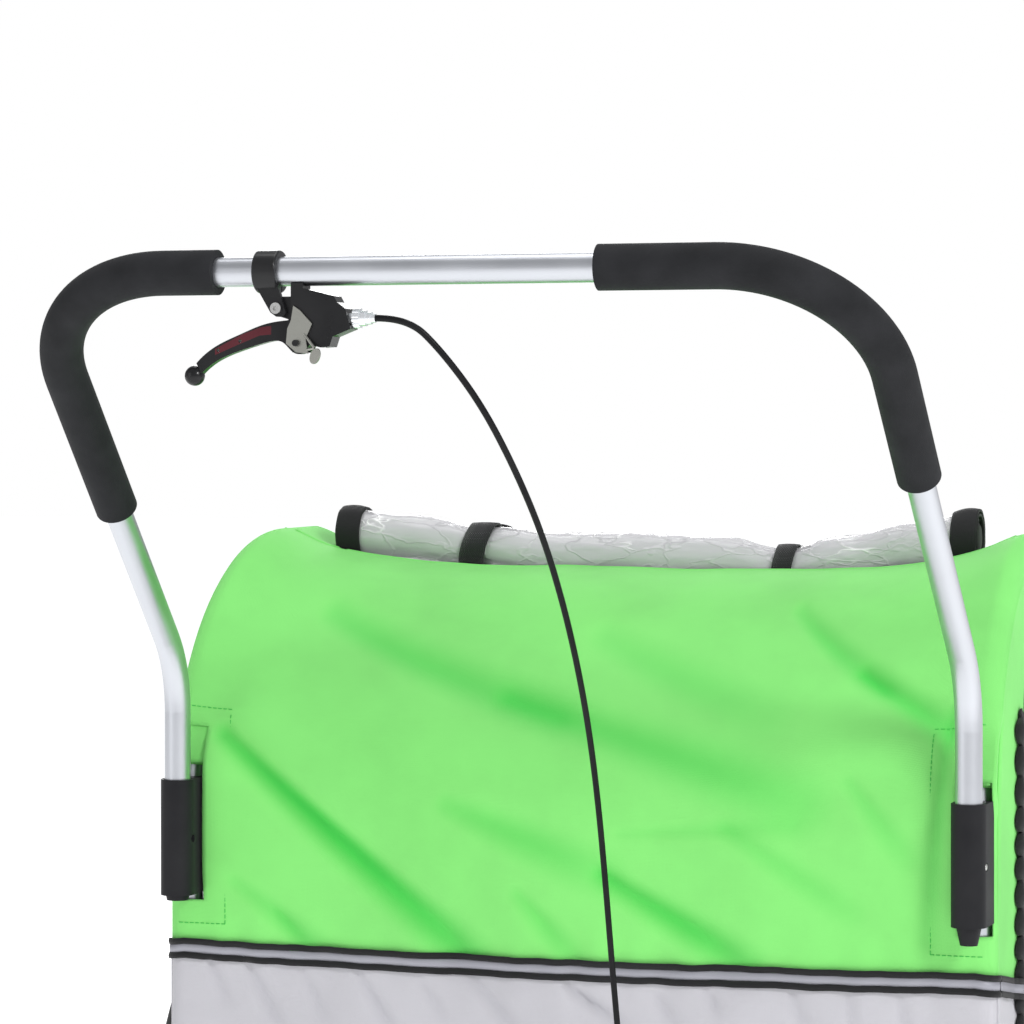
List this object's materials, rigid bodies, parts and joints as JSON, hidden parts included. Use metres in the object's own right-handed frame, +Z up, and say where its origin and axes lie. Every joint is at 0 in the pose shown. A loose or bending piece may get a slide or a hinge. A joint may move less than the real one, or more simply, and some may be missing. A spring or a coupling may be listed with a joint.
{
  "type": "child bicycle trailer",
  "caption": "Child bicycle trailer with a fabric cabin, a U-shaped push handle with a brake lever, spoked rear wheels, a front swivel wheel and a side towing arm.",
  "frame": {"origin": "on the floor, below the middle of the trailer's plan outline", "axes": "+X to the trailer's left, +Y to the rear where the push handle is, +Z up"},
  "size_m": [0.91, 1.6596, 1.0598],
  "materials": {
    "frame_steel": "satin",
    "zinc_steel": "satin",
    "silver_tube": "satin",
    "rim_aluminium": "satin",
    "black_plastic": "matte",
    "black_metal": "gloss",
    "red_insert": "gloss",
    "clear_adjuster": "gloss",
    "foam": "matte",
    "cable_jacket": "satin",
    "tyre": "matte",
    "green_fabric": "matte",
    "grey_fabric": "matte",
    "reflective_tape": "satin",
    "clear_film": "gloss",
    "black_webbing": "matte",
    "seat_fabric": "matte"
  },
  "bodies": {
    "chassis": {"axle_tube": "frame_steel", "back_cross_tube": "silver_tube", "back_tube_clamps": "black_plastic", "brake_cable": "cable_jacket", "brake_plates": "zinc_steel", "branch_cables": "cable_jacket", "cable_splitter": "black_plastic", "cross_tube_brackets": "frame_steel", "floor_cross_tubes": "silver_tube", "floor_joints": "black_plastic", "floor_rails": "silver_tube", "front_arm": "silver_tube", "front_arm_clamps": "black_plastic", "handle_end_plugs": "black_plastic", "handle_sockets": "black_plastic", "handle_tube": "silver_tube", "harness_buckles": "black_plastic", "harness_straps": "black_webbing", "head_tube": "frame_steel", "left_grip": "foam", "lever_body": "black_metal", "lever_clamp": "black_metal", "lever_clamp_screw": "zinc_steel", "lower_skirts": "grey_fabric", "rain_cover_roll": "clear_film", "rear_cover": "green_fabric", "reflective_strips": "reflective_tape", "right_grip": "foam", "roll_bindings": "black_webbing", "seat_back": "seat_fabric", "seat_cushion": "seat_fabric", "side_covers": "green_fabric", "side_hoops": "silver_tube", "side_windows": "clear_film", "tow_bracket": "frame_steel", "tow_pin": "zinc_steel", "wheel_axles": "zinc_steel"},
    "left_wheel": {"left_tyre": "tyre", "left_rim": "rim_aluminium", "left_spokes": "zinc_steel", "left_hub": "rim_aluminium"},
    "right_wheel": {"right_tyre": "tyre", "right_rim": "rim_aluminium", "right_spokes": "zinc_steel", "right_hub": "rim_aluminium"},
    "left_axle_button": {"left_axle_button": "black_plastic"},
    "right_axle_button": {"right_axle_button": "black_plastic"},
    "front_fork": {"front_fork": "frame_steel"},
    "front_wheel": {"front_tyre": "tyre", "front_wheel_rim": "black_plastic"},
    "tow_arm": {"tow_arm": "frame_steel"},
    "hitch": {"hitch_coupler": "zinc_steel"},
    "brake_lever": {"lever_blade": "black_metal", "lever_insert": "red_insert"},
    "parking_latch": {"parking_latch": "zinc_steel"},
    "barrel_adjuster": {"barrel_adjuster": "clear_adjuster"},
    "left_brake_arm": {"left_brake_arm": "zinc_steel"},
    "right_brake_arm": {"right_brake_arm": "zinc_steel"},
    "left_snap_button": {"left_snap_button": "zinc_steel"},
    "right_snap_button": {"right_snap_button": "zinc_steel"}
  },
  "joints": [
    {"name": "left_wheel_spin", "type": "hinge", "parent": "chassis", "child": "left_wheel", "pos_m": [0.41, 0.1, 0.254], "axis": [1, 0, 0], "continuous": true},
    {"name": "right_wheel_spin", "type": "hinge", "parent": "chassis", "child": "right_wheel", "pos_m": [-0.41, 0.1, 0.254], "axis": [1, 0, 0], "continuous": true},
    {"name": "front_fork_swivel", "type": "hinge", "parent": "chassis", "child": "front_fork", "pos_m": [0, -0.45, 0.352], "axis": [0, 0, 1], "continuous": true},
    {"name": "front_wheel_spin", "type": "hinge", "parent": "front_fork", "child": "front_wheel", "pos_m": [0, -0.405, 0.15], "axis": [1, 0, 0], "continuous": true},
    {"name": "tow_arm_swing", "type": "hinge", "parent": "chassis", "child": "tow_arm", "pos_m": [0.341, -0.262, 0.205], "axis": [0, 0, 1], "range_deg": [0, 90]},
    {"name": "hitch_yaw", "type": "hinge", "parent": "tow_arm", "child": "hitch", "pos_m": [0.23, -0.77176, 0.3], "axis": [0, 0, 1], "range_deg": [-45, 45]},
    {"name": "brake_lever_pull", "type": "hinge", "parent": "chassis", "child": "brake_lever", "pos_m": [0.103, 0.81276, 0.9893], "axis": [0, -1, 0], "range_deg": [0, 25], "stiffness_Nm_per_rad": 0.3, "springref_deg": -5.73},
    {"name": "parking_latch_turn", "type": "hinge", "parent": "chassis", "child": "parking_latch", "pos_m": [0.103, 0.81276, 0.9893], "axis": [0, -1, 0], "range_deg": [0, 20]},
    {"name": "barrel_adjuster_turn", "type": "hinge", "parent": "chassis", "child": "barrel_adjuster", "pos_m": [0.064, 0.81276, 1.0075], "axis": [1, 0, 0], "continuous": true},
    {"name": "left_brake_arm_turn", "type": "hinge", "parent": "chassis", "child": "left_brake_arm", "pos_m": [0.365, 0.154, 0.254], "axis": [1, 0, 0], "range_deg": [0, 16]},
    {"name": "right_brake_arm_turn", "type": "hinge", "parent": "chassis", "child": "right_brake_arm", "pos_m": [-0.365, 0.154, 0.254], "axis": [1, 0, 0], "range_deg": [0, 16]},
    {"name": "left_snap_button_press", "type": "slide", "parent": "chassis", "child": "left_snap_button", "axis": [-1, 0, 0], "range_m": [0, 0.004], "stiffness_N_per_m": 300, "springref_m": -0.002},
    {"name": "right_snap_button_press", "type": "slide", "parent": "chassis", "child": "right_snap_button", "axis": [1, 0, 0], "range_m": [0, 0.004], "stiffness_N_per_m": 300, "springref_m": -0.002},
    {"name": "left_axle_button_press", "type": "slide", "parent": "chassis", "child": "left_axle_button", "axis": [-1, 0, 0], "range_m": [0, 0.003], "stiffness_N_per_m": 400, "springref_m": -0.002},
    {"name": "right_axle_button_press", "type": "slide", "parent": "chassis", "child": "right_axle_button", "axis": [1, 0, 0], "range_m": [0, 0.003], "stiffness_N_per_m": 400, "springref_m": -0.002}
  ],
  "couplings": [
    {"joint": "left_brake_arm_turn", "follows": "brake_lever_pull", "ratio": 0.6},
    {"joint": "right_brake_arm_turn", "follows": "brake_lever_pull", "ratio": 0.6}
  ]
}
